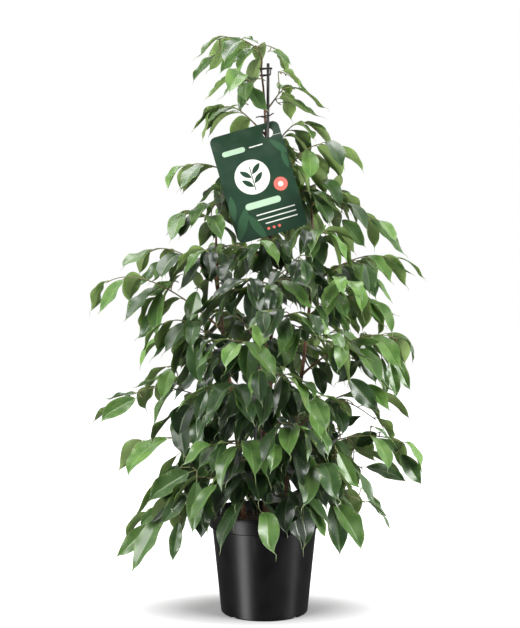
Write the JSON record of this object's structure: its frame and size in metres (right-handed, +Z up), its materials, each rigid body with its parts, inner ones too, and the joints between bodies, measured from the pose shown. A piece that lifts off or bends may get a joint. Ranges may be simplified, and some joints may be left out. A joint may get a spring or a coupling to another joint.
{
  "type": "potted weeping fig",
  "caption": "Young weeping fig with arching, hanging glossy leaves on slender woody stems, tied to a cane in a round black nursery pot, with a hang tag.",
  "frame": {"origin": "centre of the pot's flat underside, on the floor", "axes": "+Z up along the plant, -Y towards the front, where the hang tag shows its face"},
  "size_m": [0.6076, 0.5567, 1.0441],
  "materials": {
    "pot": "satin black",
    "soil": "loose potting mix",
    "stem": "smooth bark",
    "cane": "satin",
    "tie": "soft matt",
    "tag": "coated card",
    "leaf": "glossy leaf",
    "leaf_young": "glossy leaf",
    "leaf_deep": "glossy leaf"
  },
  "bodies": {
    "root": {"pot": "pot", "soil": "soil", "cane": "cane", "tag": "tag", "tie_top": "tie", "tie_low": "tie", "stem_main": "stem", "stem_left": "stem", "stem_right": "stem", "stem_back": "stem", "stem_front": "stem", "spray_top_leader": "leaf_young", "spray_top_left": "leaf_young", "spray_top_low_left": "leaf", "spray_top_right": "leaf", "spray_top_low_right": "leaf", "spray_upper_right": "leaf_young", "spray_upper_right_low": "leaf", "spray_upper_left": "leaf", "spray_upper_left_low": "leaf", "spray_upper_back": "leaf", "spray_upper_back_left": "leaf", "spray_upper_back_right": "leaf", "spray_right_1": "leaf", "spray_right_2": "leaf", "spray_right_3": "leaf", "spray_right_4": "leaf", "spray_right_5": "leaf_young", "spray_right_6": "leaf_deep", "spray_right_7": "leaf_deep", "spray_right_8": "leaf", "spray_right_9": "leaf", "spray_right_10": "leaf", "spray_left_1": "leaf", "spray_left_2": "leaf", "spray_left_3": "leaf", "spray_left_4": "leaf_young", "spray_left_5": "leaf_deep", "spray_left_6": "leaf", "spray_left_7": "leaf_deep", "spray_left_8": "leaf", "spray_left_9": "leaf_young", "spray_front_1": "leaf", "spray_front_right": "leaf", "spray_front_2": "leaf_deep", "spray_front_3": "leaf", "spray_front_4": "leaf_young", "spray_front_5": "leaf", "spray_front_6": "leaf", "spray_front_7": "leaf_young", "spray_front_8": "leaf", "spray_front_9": "leaf", "spray_front_10": "leaf", "spray_back_1": "leaf_deep", "spray_back_2": "leaf", "spray_back_3": "leaf_deep", "spray_back_4": "leaf_deep", "spray_back_5": "leaf_deep", "spray_back_6": "leaf", "spray_back_7": "leaf"}
  },
  "joints": []
}
